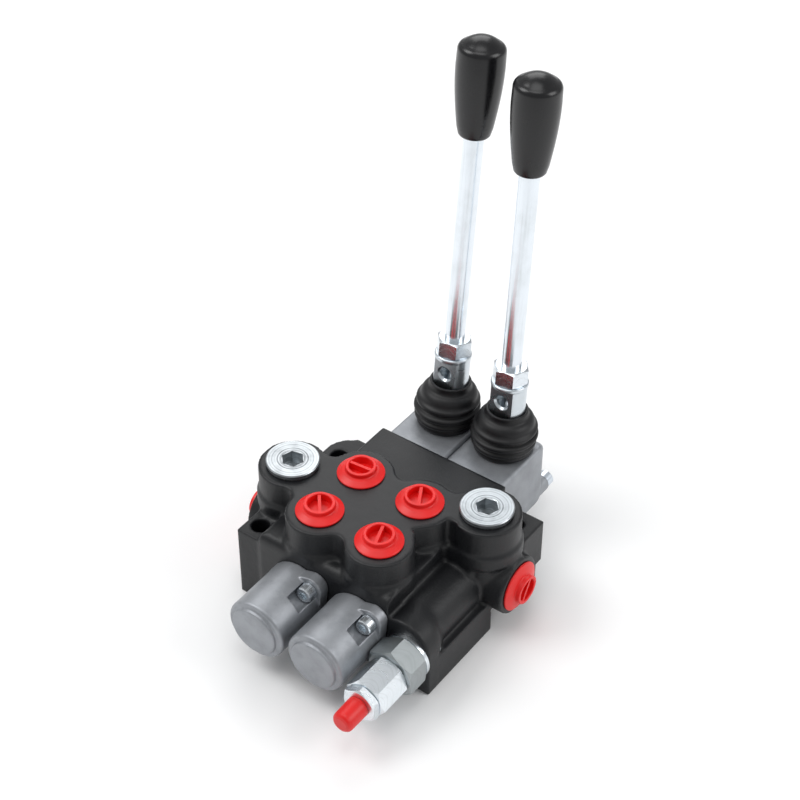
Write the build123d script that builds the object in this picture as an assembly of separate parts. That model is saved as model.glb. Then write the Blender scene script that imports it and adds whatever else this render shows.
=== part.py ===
from build123d import *
import os
from math import cos, pi, radians, sin, sqrt, tan

# Two-spool hydraulic monoblock valve with a hand lever on each spool.
# Millimetres. X runs across the spools, Y along them towards the levers, Z up from the mounting face.
# The origin is on the mounting face, below the middle of the four work ports.

# ---- spools and body ---------------------------------------------------------------------------
SIDES = {"left": -1, "right": 1}
spool_pitch = 35.0
spool_z = 26.5
spool_r = 8.0
spool_fit = 0.03            # radial running clearance of the spools in the body
spool_stroke = 6.0          # travel each way from neutral
spool_groove_r = 5.0
spool_groove_len = 5.0
chamber_r = 11.0
chamber_len = 7.0
gallery_r = 4.5

face_front = -33.0          # face that the spring caps seat on
face_rear = 61.0            # face that the lever housings seat on
plateau_z = 65.0            # top face of all six bosses
spool_deck_z = 49.0         # casting over the spools, in front of the bosses
rear_deck_z = 53.0          # casting over the spools, behind the bosses
lug_z = 42.0                # top of the mounting lugs
core_left, core_right = -43.0, 50.0
rear_block_half = 37.5
rear_block_front = 33.0
deck_round = 5.0            # cast rounding of the deck edges
cast_round = 1.2            # small cast rounding

port_y = 16.2               # work ports, in front of and behind the origin
port_boss_r = 16.6
port_bore_r = 8.4
port_bore_depth = 14.0
port_drill_r = 5.5
boss_blend = 6.0            # concave blend between bosses

plug_boss_r = 17.0
left_plug_x, left_plug_y = -48.5, 2.4
right_plug_x, right_plug_y = 46.3, 30.4
bridge_width = 22.0         # casting that joins a plug boss to the port bosses

side_port_z = spool_z
side_boss_r = 15.3
side_bore_r = 9.3
side_bore_depth = 14.0
side_drill_r = 6.0
inlet_face = 66.0           # inlet port face, right side
outlet_face = -67.0         # tank port face, left side

lug_left_x = -57.0
lug_front_y = -31.5
lug_front_back = -6.0
lug_rear_left_x = -58.5
lug_rear_left_y = 56.0
lug_rear_left_front = 24.0
lug_rear_left_round = 15.0
waist_left = -50.0
lug_rear_right_x = 60.0
lug_rear_right_front = 43.0
lug_rear_right_step_z = 16.0
lug_rear_right_step = 2.5
foot_right_x = 58.0
foot_top_z = 20.0
foot_front = -31.0
foot_back = 20.0
mount_hole_r = 4.5
mount_front = (-49.5, -22.5)
mount_rear_left = (-49.5, 40.0)
mount_rear_right = (49.5, 51.5)

bulge_x, bulge_z, bulge_r = 39.5, 23.0, 15.0
collar_r = 17.0             # round end of the relief valve boss
collar_len = 13.0

# ---- spool seals ---------------------------------------------------------------------------------
seal_r = 10.6
seal_len = 3.0
seal_inset = 3.0            # iron between the seal groove and the body's face

# ---- spring caps and the centring packs in them ----------------------------------------------------
cap_r = 16.0
cap_len = 34.0
cap_bore_r = 9.5
cap_end_wall = 4.0
cap_disc_r = 12.8
cap_disc_h = 1.8
cap_round = 1.6
flange_t = 6.5
screw_offset = 10.8         # cap screws, across and up from the spool axis
ear_r = 6.3
screw_r = 2.5
screw_hole_r = 2.75
screw_head_r = 4.25
screw_head_h = 5.0
screw_socket_af = 4.0
screw_socket_depth = 3.0
screw_pocket_r = 4.7
screw_depth = 12.0          # length of screw in the body

seat_r = 9.2
seat_t = 2.0
seat_sleeve_r = 5.5
seat_sleeve_len = 5.0
pack_len = 20.0             # from the body face to the outer seat's outer face
centring_wire_r = 1.1
centring_coil_r = 7.0
centring_turns = 4
bolt_r = 4.0
bolt_fit = 0.2
bolt_head_r = 6.0
bolt_head_h = 4.5
bolt_thread_depth = 14.0
bolt_socket_af = 5.0

# ---- lever housings ----------------------------------------------------------------------------
housing_half = 17.2
housing_bottom = 7.0
housing_top = 50.0
housing_back = 105.5
housing_low_round = 9.0
housing_top_round = 9.0
housing_end_wall = 2.8
tail_bore_r = 9.6
lever_well_half = 9.0
lever_well_front = 74.0
well_mouth_r = 12.5
boot_spigot_r = 13.8
boot_spigot_h = 3.0
screw_boss_back = 107.5
screw_boss_r = 4.6
housing_screw_across = 12.6     # housing screws, beside the lever's eye and clear of its pin
housing_screw_up = 9.3

# ---- levers ------------------------------------------------------------------------------------
pivot_y, pivot_z = 88.5, 42.0
lever_swing = 20.0          # degrees each way
lean = {"left": 5.8, "right": 3.8}
rod_reach = {"left": 172.0, "right": 168.0}   # from the pivot to the lower end of the knob
pin_r = 3.0
pin_fit = 0.04
pin_inset = 1.2             # head end of the pin below the housing's side
pin_blind = 4.0
ball_r = 4.5
ball_fit = 0.35
arm_r = 3.0
eye_r = 7.0
eye_half = 8.5
stem_r = 5.0
hub_r = 9.0
hub_low, hub_high = 24.0, 46.0
hub_flat_half = 6.5
hub_collar_r = 9.4
hub_collar_h = 2.5
hub_hole_r = 3.3
hub_hole_sink = 1.0
hub_hole_at = 38.0
rod_r = 5.0
rod_engage = 7.0
nut_af = 16.0
nut_h = 9.0
nut_chamfer = 1.1
knob_len = 46.0
knob_low_r = 7.6
knob_waist_r = 10.6
knob_max_r = 11.4
knob_dome = 5.5
knob_thread = 28.0
tail_end = 97.0
tail_flat_z = 30.5
slot_floor_z = 21.4

boot_base_r = 17.0
boot_base_h = 4.5
boot_wall = 1.6
boot_neck_r = 10.6
boot_folds = ((16.6, 7.0), (15.9, 11.5), (13.9, 15.8))   # radius and height of each fold above the base
boot_neck_h = 23.5

# ---- plugs, port caps --------------------------------------------------------------------------
plug_head_r = 13.2
plug_head_h = 2.6
plug_shank_r = 10.3
plug_shank_len = 12.0
plug_socket_af = 10.0
plug_socket_depth = 7.0
plug_chamfer = 0.8
washer_r = 14.2
washer_t = 1.0
cap_flange_r = 12.0
cap_flange_edge = 1.0
cap_flange_t = 3.4
cap_ring_r = 7.6
cap_ring_h = 3.0
cap_ring_wall = 1.7
cap_bar_t = 1.3
cap_skirt_gap = 0.15
cap_skirt_len = 9.0
cap_skirt_wall = 1.4
side_cap_flange_r = 12.9

# ---- relief valve --------------------------------------------------------------------------------
relief_x, relief_z = 46.5, 21.3
relief_bore_r = 10.2
relief_bore_len = 12.5
relief_nose_r = 6.0
relief_nose_inner_r = 4.2
relief_nose_len = 10.0
relief_drill_r = 4.0
relief_washer_r = 12.3
relief_washer_t = 2.0
relief_hex_af = 24.0
relief_hex_len = 13.0
relief_hex_turn = 30.0
relief_shank_len = 12.0
relief_inner_r = 7.0
sleeve_af = 21.0
sleeve_len = 15.0
sleeve_turn = 42.0
sleeve_wall_end = 4.0
sleeve_spigot_len = 6.0
seat_ring_len = 5.0
seat_hole_r = 2.2
poppet_fit = 0.08
poppet_flange_t = 2.0
poppet_lift = 2.0
relief_wire_r = 0.8
relief_coil_r = 4.3
relief_turns = 7
guide_t = 2.5
guide_nose_r = 3.4
guide_nose_len = 2.5
adjuster_r = 4.0
adjust_travel = 1.5
adjuster_out = 13.0
adjuster_slot = 1.2
lock_af = 17.0
lock_h = 4.0
lock_turn = 30.0
red_cap_r = 5.75
red_cap_len = 18.0
red_cap_wall = 1.4
red_cap_round = 2.4

# ---- load check -----------------------------------------------------------------------------------
check_bore_r = 8.0
check_fit = 0.06
check_seat_z = 38.0
check_seat_r = 5.5
check_nose_r = 3.5
check_top_z = 49.0
check_pocket_r = 5.6
check_pocket_depth = 4.0
check_lift = 3.0
check_wire_r = 0.6
check_coil_r = 4.4
check_turns = 5
plug_pocket_r = 6.0
plug_pocket_depth = 4.0

nodes = {}


def spool_x(side):
    return SIDES[side] * spool_pitch / 2


def facing(direction, x, y, z):
    """A frame at a point whose own z runs out of the object's front, rear, left, right or top."""
    turns = {
        "front": ((1, 0, 0), (0, -1, 0)),
        "rear": ((-1, 0, 0), (0, 1, 0)),
        "right": ((0, 1, 0), (1, 0, 0)),
        "left": ((0, -1, 0), (-1, 0, 0)),
        "top": ((1, 0, 0), (0, 0, 1)),
    }
    x_dir, z_dir = turns[direction]
    return Plane(origin=(x, y, z), x_dir=x_dir, z_dir=z_dir).location


def rod(radius, low, high):
    """A round bar along z from one height to another."""
    return Pos(0, 0, (low + high) / 2) * Cylinder(radius, high - low)


def ring(outer, inner, low, high):
    return rod(outer, low, high) - rod(inner, low - 1, high + 1)


def slab(sketch, low, high):
    """A flat outline raised from one height to another."""
    return Pos(0, 0, low) * extrude(sketch, high - low)


def turned(*outline):
    """A closed (radius, height) outline turned about z."""
    return revolve(make_face(Plane.XZ * Polyline(*outline, close=True)), Axis.Z)


def hexagon(across_flats, turn=0.0):
    """A hexagon whose first corner is at the given angle."""
    return Rot(0, 0, turn) * RegularPolygon(across_flats / sqrt(3), 6, rotation=0)


def hex_bar(across_flats, low, high, turn=0.0, chamfered=0.0, both=True):
    """A hexagonal bar with its corners turned off at its ends."""
    bar = slab(hexagon(across_flats, turn), low, high)
    if chamfered:
        flat_r = across_flats / 2 - 0.3
        wide_r = across_flats / sqrt(3) + 0.01
        drop = (wide_r - flat_r) * tan(radians(30))
        foot = (wide_r, low + drop) if both else (wide_r, low)
        start = (flat_r, low) if both else (wide_r, low - 0.01)
        bar &= turned((0, low), start, foot, (wide_r, high - drop), (flat_r, high), (0, high))
    return bar


def coil(wire_r, coil_r, length, turns):
    """A compression spring along z, standing on z = 0."""
    rise = length - 2 * wire_r
    path = Helix(rise / turns, rise, coil_r)
    start = Plane(origin=path @ 0, z_dir=path % 0)
    return Pos(0, 0, wire_r) * sweep(start * Circle(wire_r), path, is_frenet=True)


def socket_screw(radius, length, head_r, head_h, socket_af, socket_depth):
    """A cap screw: z = 0 is under the head, and the shank runs down."""
    head = rod(head_r, 0, head_h)
    head = chamfer(head.edges().sort_by(Axis.Z)[-1], 0.5)
    screw = head + rod(radius, -length, 0.5)
    return screw - slab(hexagon(socket_af), head_h - socket_depth, head_h + 1)


def rect(x0, y0, x1, y1):
    return Pos((x0 + x1) / 2, (y0 + y1) / 2) * Rectangle(x1 - x0, y1 - y0)


def closed_corners(sketch, radius):
    """The outline with its inner corners rounded."""
    grown = offset(sketch, amount=radius, kind=Kind.INTERSECTION)
    return offset(grown, amount=-radius, kind=Kind.ARC)


# ---- valve body ------------------------------------------------------------------------------------
def body_casting():
    """The outer form of the iron casting, before machining."""
    core = slab(rect(core_left, face_front, core_right, face_rear), 0, lug_z)
    spool_deck = slab(
        rect(core_left, face_front, core_right - 12, rear_block_front), lug_z - 4, spool_deck_z
    )
    spool_deck = fillet(
        spool_deck.faces().sort_by(Axis.Z)[-1].edges().sort_by(Axis.Y)[0:3], deck_round
    )
    rear_deck = slab(
        rect(-rear_block_half, rear_block_front - 8, rear_block_half, face_rear),
        lug_z - 4,
        rear_deck_z,
    )
    front_lug = slab(
        rect(lug_left_x, lug_front_y, core_left + 10, lug_front_back), 0, lug_z
    )
    waist = slab(rect(waist_left, lug_front_back - 2, core_left + 10, lug_rear_left_y), 0, lug_z)
    rear_left = rect(lug_rear_left_x, lug_rear_left_front, core_left + 10, lug_rear_left_y)
    rear_left = fillet(
        rear_left.vertices().group_by(Axis.X)[0].sort_by(Axis.Y)[-1], lug_rear_left_round
    )
    rear_left = slab(rear_left, 0, lug_z)
    rear_right = slab(
        rect(core_right - 10, lug_rear_right_front, lug_rear_right_x, face_rear),
        lug_rear_right_step_z,
        lug_z,
    )
    rear_right += slab(
        rect(
            core_right - 10,
            lug_rear_right_front,
            lug_rear_right_x - lug_rear_right_step,
            face_rear,
        ),
        0,
        lug_rear_right_step_z,
    )
    foot = slab(rect(core_right - 10, foot_front, foot_right_x, foot_back), 0, foot_top_z)
    bulge = facing("front", bulge_x, right_plug_y, bulge_z) * rod(
        bulge_r, 0, right_plug_y - face_front - 2
    )
    collar = facing("front", relief_x, face_front + collar_len, relief_z) * rod(
        collar_r, 0, collar_len
    )
    inlet = facing("right", core_right - 15, right_plug_y, side_port_z) * rod(
        side_boss_r, 0, inlet_face - core_right + 15
    )
    outlet = facing("left", core_left + 5, left_plug_y, side_port_z) * rod(
        side_boss_r, 0, core_left + 5 - outlet_face
    )
    bosses = slab(boss_outline(), spool_z, plateau_z)
    casting = core + spool_deck + rear_deck + front_lug + waist + rear_left + rear_right
    casting = casting + foot + bulge + collar + inlet + outlet + bosses
    return casting


def boss_outline():
    """The plan of the six bosses and the web that joins them."""
    outline = rect(-spool_pitch / 2, -port_y, spool_pitch / 2, port_y)
    for side in SIDES:
        for end in (-1, 1):
            outline += Pos(spool_x(side), end * port_y) * Circle(port_boss_r)
    for x, y in ((left_plug_x, left_plug_y), (right_plug_x, right_plug_y)):
        outline += Pos(x, y) * Circle(plug_boss_r)
        near = min(abs(y), port_y)
        reach = spool_pitch / 2 if x > 0 else -spool_pitch / 2
        outline += rect(
            min(x, reach), near - bridge_width / 2, max(x, reach), near + bridge_width / 2
        )
    return closed_corners(outline, boss_blend)


def valve_body():
    body = body_casting()
    cuts = []
    for side in SIDES:
        x = spool_x(side)
        bore = facing("front", x, face_rear, spool_z)
        length = face_rear - face_front
        cuts.append(bore * rod(spool_r + spool_fit, -1, length + 1))
        cuts.append(bore * rod(seal_r, seal_inset, seal_inset + seal_len))
        cuts.append(bore * rod(seal_r, length - seal_inset - seal_len, length - seal_inset))
        for end in (-1, 1):
            port = facing("top", x, end * port_y, 0)
            cuts.append(port * rod(port_bore_r, plateau_z - port_bore_depth, plateau_z + 1))
            cuts.append(port * rod(port_drill_r, spool_z, plateau_z - port_bore_depth + 1))
            chamber = facing("front", x, end * port_y + chamber_len / 2, spool_z)
            cuts.append(chamber * rod(chamber_r, 0, chamber_len))
        for turn in (-1, 1):
            cap_hole = facing(
                "front", x + turn * screw_offset, face_front, spool_z + turn * screw_offset
            )
            cuts.append(cap_hole * rod(screw_r, -screw_depth - 2, 1))
            cuts.append(housing_screw_place(side, turn, face_rear) * rod(screw_r, -screw_depth - 2, 1))
    outlet_line = facing("left", relief_x, left_plug_y, spool_z)
    cuts.append(outlet_line * rod(gallery_r, 0, relief_x - left_plug_x))
    inlet_line = facing("left", right_plug_x, right_plug_y, spool_z)
    cuts.append(inlet_line * rod(gallery_r, 0, right_plug_x + spool_pitch / 2 + spool_r))
    inlet = facing("right", right_plug_x, right_plug_y, side_port_z)
    reach = inlet_face - right_plug_x
    cuts.append(inlet * rod(side_bore_r, reach - side_bore_depth, reach + 1))
    cuts.append(inlet * rod(side_drill_r, 0, reach))
    outlet = facing("left", left_plug_x, left_plug_y, side_port_z)
    reach = left_plug_x - outlet_face
    cuts.append(outlet * rod(side_bore_r, reach - side_bore_depth, reach + 1))
    cuts.append(outlet * rod(side_drill_r, 0, reach))
    left_well = facing("top", left_plug_x, left_plug_y, 0)
    cuts.append(left_well * rod(plug_shank_r, plateau_z - plug_shank_len - 1, plateau_z + 1))
    cuts.append(left_well * rod(side_drill_r, side_port_z, plateau_z))
    right_well = facing("top", right_plug_x, right_plug_y, 0)
    cuts.append(right_well * rod(plug_shank_r, plateau_z - plug_shank_len - 1, plateau_z + 1))
    cuts.append(right_well * rod(check_bore_r, check_seat_z, plateau_z))
    cuts.append(right_well * rod(check_seat_r, side_port_z, plateau_z))
    relief = facing("front", relief_x, face_front, relief_z)
    cuts.append(relief * rod(relief_bore_r, -relief_bore_len, 1))
    cuts.append(relief * rod(relief_nose_r + 0.05, seat_low - 1, 0))
    cuts.append(relief * rod(relief_drill_r, face_front - right_plug_y, 0))
    for x, y in (mount_front, mount_rear_left, mount_rear_right):
        cuts.append(facing("top", x, y, 0) * rod(mount_hole_r, -1, lug_z + 1))
    return body - cuts


def housing_screw_place(side, turn, y):
    """A frame on a housing screw's axis: they are on the diagonal that clears the pin's head."""
    x = spool_x(side) - turn * housing_screw_across
    return facing("rear", x, y, spool_z + turn * housing_screw_up)


# ---- spools, seals and centring packs ---------------------------------------------------------------
def spool(side):
    """The spool, from the body's front face to its slotted tail under the lever."""
    x = spool_x(side)
    place = facing("rear", x, face_front, spool_z)
    length = tail_end - face_front
    bar = place * chamfer(rod(spool_r, 0, length).edges(), 0.6)
    cuts = []
    for y in (-port_y, left_plug_y, port_y, right_plug_y):
        middle = y - face_front + chamber_len / 2 + spool_groove_len / 2 + 0.6
        groove = ring(
            spool_r + 1, spool_groove_r, middle - spool_groove_len / 2, middle + spool_groove_len / 2
        )
        cuts.append(place * groove)
    cuts.append(place * rod(bolt_r, -1, bolt_thread_depth))
    slot_half = ball_r + ball_fit
    cuts.append(
        Pos(x, pivot_y, slot_floor_z + spool_r) * Box(3 * spool_r, 2 * slot_half, 2 * spool_r)
    )
    flat_front = pivot_y - slot_half - 5
    flat_len = tail_end + 1 - flat_front
    cuts.append(
        Pos(x, flat_front + flat_len / 2, tail_flat_z + spool_r)
        * Box(3 * spool_r, flat_len, 2 * spool_r)
    )
    return bar - cuts


def spool_seals():
    """Rings in grooves at both ends of both bores."""
    seals = []
    for side in SIDES:
        for face, y in (("front", face_front), ("rear", face_rear)):
            place = facing(face, spool_x(side), y, spool_z)
            seals.append(place * ring(seal_r, spool_r + spool_fit, -seal_inset - seal_len, -seal_inset))
    return Compound(seals)


def spring_seats(side):
    """Two flanged cups on the bolt, one against the body and one under the bolt's head."""
    bore = bolt_r + bolt_fit
    cup = ring(seat_r, bore, 0, seat_t) + ring(seat_sleeve_r, bore, 0, seat_sleeve_len)
    inner = facing("front", spool_x(side), face_front, spool_z) * cup
    outer = facing("rear", spool_x(side), face_front - pack_len, spool_z) * cup
    return Compound([inner, outer])


def centring_spring(side):
    length = pack_len - 2 * seat_t
    wire = coil(centring_wire_r, centring_coil_r, length, centring_turns)
    return facing("front", spool_x(side), face_front - seat_t, spool_z) * wire


def shoulder_bolt(side):
    """The bolt that ties the centring pack to the spool."""
    bolt = rod(bolt_r, -bolt_thread_depth + 1, pack_len + 0.5)
    head = chamfer(
        rod(bolt_head_r, pack_len, pack_len + bolt_head_h).edges().sort_by(Axis.Z)[-1], 0.6
    )
    bolt = bolt + head - slab(hexagon(bolt_socket_af), pack_len + 1.5, pack_len + bolt_head_h + 1)
    return facing("front", spool_x(side), face_front, spool_z) * bolt


def spring_cap(side):
    """A cast cap with a diagonal pair of screw ears and a raised disc on its end."""
    ears = Circle(cap_r)
    flange = slab(make_hull(ear_circles(cap_r, ear_r).edges()), 0, flange_t)
    flange = fillet(flange.faces().sort_by(Axis.Z)[-1].edges(), 0.8)
    barrel = rod(cap_r, 0, cap_len)
    barrel = fillet(barrel.edges().sort_by(Axis.Z)[-1], cap_round)
    disc = rod(cap_disc_r, cap_len - 1, cap_len + cap_disc_h)
    disc = fillet(disc.edges().sort_by(Axis.Z)[-1], 0.8)
    cap = flange + barrel + disc
    cap -= rod(cap_bore_r, -1, cap_len - cap_end_wall)
    for turn in (-1, 1):
        hole = Pos(turn * screw_offset, turn * screw_offset, 0)
        cap -= hole * rod(screw_hole_r, -1, flange_t + 1)
        cap -= hole * rod(screw_pocket_r, flange_t - 0.4, flange_t + 12)
    return facing("front", spool_x(side), face_front, spool_z) * cap


def ear_circles(main_r, small_r):
    outline = Circle(main_r)
    for turn in (-1, 1):
        outline += Pos(turn * screw_offset, turn * screw_offset) * Circle(small_r)
    return outline


def cap_screws():
    screws = []
    for side in SIDES:
        for turn in (-1, 1):
            place = facing(
                "front",
                spool_x(side) + turn * screw_offset,
                face_front - flange_t + 0.4,
                spool_z + turn * screw_offset,
            )
            screws.append(
                place
                * socket_screw(
                    screw_r,
                    flange_t - 0.4 + screw_depth,
                    screw_head_r,
                    screw_head_h,
                    screw_socket_af,
                    screw_socket_depth,
                )
            )
    return Compound(screws)


# ---- lever housings and levers ----------------------------------------------------------------------
def lever_housing(side):
    """The cast box that carries the lever's pivot over the spool's tail."""
    x = spool_x(side)
    depth = housing_back - face_rear
    section = Pos(0, (housing_top + housing_bottom) / 2 - spool_z) * Rectangle(
        2 * housing_half, housing_top - housing_bottom
    )
    section = fillet(section.vertices().group_by(Axis.Y)[0], housing_low_round)
    section = fillet(section.vertices().group_by(Axis.Y)[-1], 2.0)
    rear = facing("rear", x, face_rear, spool_z)
    box = rear * slab(section, 0, depth)
    back_edges = box.edges().group_by(Axis.Y)[-1].group_by(Axis.Z)[-1]
    box = fillet(back_edges, housing_top_round)
    for turn in (-1, 1):
        boss = housing_screw_place(side, turn, screw_boss_back)
        box += boss * rod(screw_boss_r, -14, 0)
    top = facing("top", x, pivot_y, housing_top)
    box += top * rod(boot_spigot_r, -2, boot_spigot_h)
    cuts = [rear * rod(tail_bore_r, -1, depth - housing_end_wall)]
    well_back = housing_back - housing_end_wall
    well = Pos(x, (lever_well_front + well_back) / 2, (spool_z + housing_top - 4) / 2) * Box(
        2 * lever_well_half, well_back - lever_well_front, housing_top - 4 - spool_z
    )
    cuts.append(well)
    cuts.append(top * rod(well_mouth_r, -8, boot_spigot_h + 1))
    pin = facing("right", x - housing_half, pivot_y, pivot_z)
    cuts.append(pin * rod(pin_r, -1, housing_half + lever_well_half + pin_blind))
    for turn in (-1, 1):
        hole = housing_screw_place(side, turn, face_rear)
        cuts.append(hole * rod(screw_hole_r, -1, depth + 10))
    return box - cuts


def housing_screws():
    screws = []
    for side in SIDES:
        for turn in (-1, 1):
            screws.append(
                housing_screw_place(side, turn, screw_boss_back)
                * socket_screw(
                    screw_r,
                    screw_boss_back - face_rear + screw_depth,
                    screw_head_r,
                    screw_head_h,
                    screw_socket_af,
                    screw_socket_depth,
                )
            )
    return Compound(screws)


def pivot_pin(side):
    place = facing("right", spool_x(side) - housing_half, pivot_y, pivot_z)
    length = housing_half + lever_well_half + pin_blind
    return place * chamfer(rod(pin_r, pin_inset, length - 0.3).edges(), 0.4)


def lever_frame(side):
    """The frame of a lever: at the pivot, with its own z up the leaning lever."""
    tilt = radians(lean[side])
    return Plane(
        origin=(spool_x(side), pivot_y, pivot_z), x_dir=(1, 0, 0), z_dir=(0, sin(tilt), cos(tilt))
    ).location


def lever_hub(side):
    """The lever's forged end: ball, arm, eye, stem and the drilled hub that takes the rod."""
    arm_len = pivot_z - spool_z
    upright = Pos(spool_x(side), pivot_y, pivot_z)
    low = Pos(0, 0, -arm_len) * Sphere(ball_r) + rod(arm_r, -arm_len, 0)
    eye = Rot(0, 90, 0) * rod(eye_r, -eye_half, eye_half)
    hub = rod(stem_r, 0, hub_low + 1) + turned(
        (0, hub_low), (hub_r - 1.5, hub_low), (hub_r, hub_low + 1.5), (hub_r, hub_high), (0, hub_high)
    )
    for turn in (-1, 1):
        hub -= Pos(0, turn * (hub_flat_half + 5), (hub_low + hub_high) / 2) * Box(
            4 * hub_r, 10, hub_high - hub_low + 0.02
        )
    collar = rod(hub_collar_r, hub_high, hub_high + hub_collar_h)
    hub += fillet(collar.edges(), 0.8)
    hub -= rod(rod_r, hub_hole_at - hub_hole_r - 1, hub_high + hub_collar_h + 1)
    sink_r = hub_hole_r + hub_hole_sink
    across = hub_flat_half
    drill = turned(
        (0, -across - 1),
        (sink_r + 1, -across - 1),
        (sink_r, -across),
        (hub_hole_r, -across + hub_hole_sink),
        (hub_hole_r, across - hub_hole_sink),
        (sink_r, across),
        (sink_r + 1, across + 1),
        (0, across + 1),
    )
    hub -= Pos(0, 0, hub_hole_at) * Rot(90, 0, 0) * drill
    lever = upright * (low + eye) + lever_frame(side) * hub
    return lever - upright * Rot(0, 90, 0) * rod(pin_r + pin_fit, -eye_half - 1, eye_half + 1)


def lever_nut(side):
    low = hub_high + hub_collar_h
    nut = hex_bar(nut_af, low, low + nut_h, 10, nut_chamfer)
    return lever_frame(side) * (nut - rod(rod_r, low - 1, low + nut_h + 1))


def lever_rod(side):
    low = hub_high + hub_collar_h - rod_engage
    bar = rod(rod_r, low, rod_reach[side] + knob_thread)
    return lever_frame(side) * chamfer(bar.edges(), 0.6)


def knob(side):
    """A moulded handle, narrow at its foot and domed at its end."""
    shoulder = knob_len - knob_dome
    with BuildPart() as handle:
        with BuildSketch(Plane.XZ):
            with BuildLine():
                foot = Line((0, 0), (knob_low_r - 1.2, 0))
                edge = Line(foot @ 1, (knob_low_r, 1.2))
                flank = Spline(
                    edge @ 1,
                    (knob_waist_r, knob_len * 0.34),
                    (knob_max_r, shoulder - 3),
                    tangents=((0.25, 1), (0, 1)),
                )
                crown = Spline(flank @ 1, (0, knob_len), tangents=((0, 1), (-1, 0)))
                Line(crown @ 1, (0, 0))
            make_face()
        revolve(axis=Axis.Z)
    return lever_frame(side) * (
        Pos(0, 0, rod_reach[side]) * (handle.part - rod(rod_r, -1, knob_thread))
    )


def boot(side):
    """The rubber bellows between the housing and the hub."""
    low = housing_top - pivot_z
    outer = [(boot_base_r - 1.2, low + 1.0)]
    inner = [(boot_base_r - 1.2 - boot_wall, low + 1.0)]
    last = low + 3.0
    for radius, height in boot_folds:
        outer += [(radius - 1.6, last), (radius, low + height - 1.0), (radius, low + height)]
        inner += [
            (radius - 1.6 - boot_wall, last),
            (radius - boot_wall, low + height - 1.0),
            (radius - boot_wall, low + height),
        ]
        last = low + height + 1.6
    neck_low = low + boot_neck_h - 3.5
    outer += [(boot_neck_r, neck_low), (boot_neck_r, low + boot_neck_h)]
    inner += [(hub_r + 0.05, neck_low - 1.0), (hub_r + 0.05, low + boot_neck_h)]
    bellows = lever_frame(side) * turned(*outer, *reversed(inner))
    base = facing("top", spool_x(side), pivot_y, housing_top) * ring(
        boot_base_r, boot_spigot_r, 0, boot_base_h
    )
    clear = facing("top", spool_x(side), pivot_y, housing_top) * rod(boot_spigot_r, -5, boot_base_h)
    below = Pos(spool_x(side), pivot_y, housing_top - 10) * Box(60, 60, 20)
    return base + (bellows - clear - below)


# ---- plugs and port caps ------------------------------------------------------------------------------
def top_plug(x, y, pocket):
    """A socket-headed screw plug. The one over the load check is hollow underneath for its spring."""
    head = rod(plug_head_r, washer_t, washer_t + plug_head_h)
    head = chamfer(head.edges().sort_by(Axis.Z)[-1], plug_chamfer)
    plug = head + rod(plug_shank_r, -plug_shank_len, washer_t + 0.5)
    top = washer_t + plug_head_h
    plug -= slab(hexagon(plug_socket_af, 12), top - plug_socket_depth, top + 1)
    if pocket:
        plug -= rod(plug_pocket_r, -plug_shank_len - 1, -plug_shank_len + plug_pocket_depth)
    return facing("top", x, y, plateau_z) * plug


def plug_washers():
    washers = []
    for x, y in ((left_plug_x, left_plug_y), (right_plug_x, right_plug_y)):
        washers.append(facing("top", x, y, plateau_z) * ring(washer_r, plug_shank_r, 0, washer_t))
    return Compound(washers)


def port_cap(place, flange_r, bore_r, turn):
    """A plastic shipping cap: conical flange, hollow ring with a grip bar, and a skirt in the bore."""
    cap = turned(
        (0, 0), (flange_r, 0), (flange_r, cap_flange_edge), (cap_ring_r + 1.2, cap_flange_t), (0, cap_flange_t)
    )
    top = cap_flange_t + cap_ring_h
    grip = fillet(rod(cap_ring_r, 1, top).edges().sort_by(Axis.Z)[-1], 0.5)
    cap += grip - rod(cap_ring_r - cap_ring_wall, cap_flange_t - 1, top + 1)
    cap -= rod(cap_ring_r - cap_ring_wall, 1.6, top + 1)
    bar = Box(2 * cap_ring_r - cap_ring_wall, cap_bar_t, top - 1.6)
    cap += Rot(0, 0, turn) * (Pos(0, 0, (top + 1.6) / 2 - 0.4) * bar)
    skirt_r = bore_r - cap_skirt_gap
    cap += ring(skirt_r, skirt_r - cap_skirt_wall, -cap_skirt_len, 0.5)
    return place * cap


# ---- relief valve ----------------------------------------------------------------------------------
relief_face = relief_washer_t               # heights along the relief valve, out from the body's face
sleeve_low = relief_face + relief_hex_len
sleeve_high = sleeve_low + sleeve_len
shoulder = 2.0 - relief_shank_len           # inner step between the nose and the spring chamber
seat_low = -relief_shank_len - relief_nose_len
seat_high = seat_low + seat_ring_len
poppet_high = shoulder + 0.1 + poppet_flange_t
guide_low = sleeve_low + 4.0


def relief_place():
    return facing("front", relief_x, face_front, relief_z)


def relief_body():
    """The hexagonal cartridge that screws into the body and holds seat, poppet and spring."""
    cartridge = hex_bar(relief_hex_af, relief_face, sleeve_low, relief_hex_turn, 1.0)
    cartridge += rod(relief_bore_r, -relief_shank_len, relief_face + 0.5)
    cartridge += rod(relief_nose_r, seat_low, 0)
    cartridge -= rod(relief_inner_r, shoulder, sleeve_low + 1)
    cartridge -= rod(relief_nose_inner_r, seat_low - 1, sleeve_low)
    return relief_place() * cartridge


def relief_washer():
    return relief_place() * ring(relief_washer_r, relief_bore_r, 0, relief_washer_t)


def relief_seat():
    seat = ring(relief_nose_inner_r, seat_hole_r, seat_low, seat_high)
    return relief_place() * seat


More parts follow.
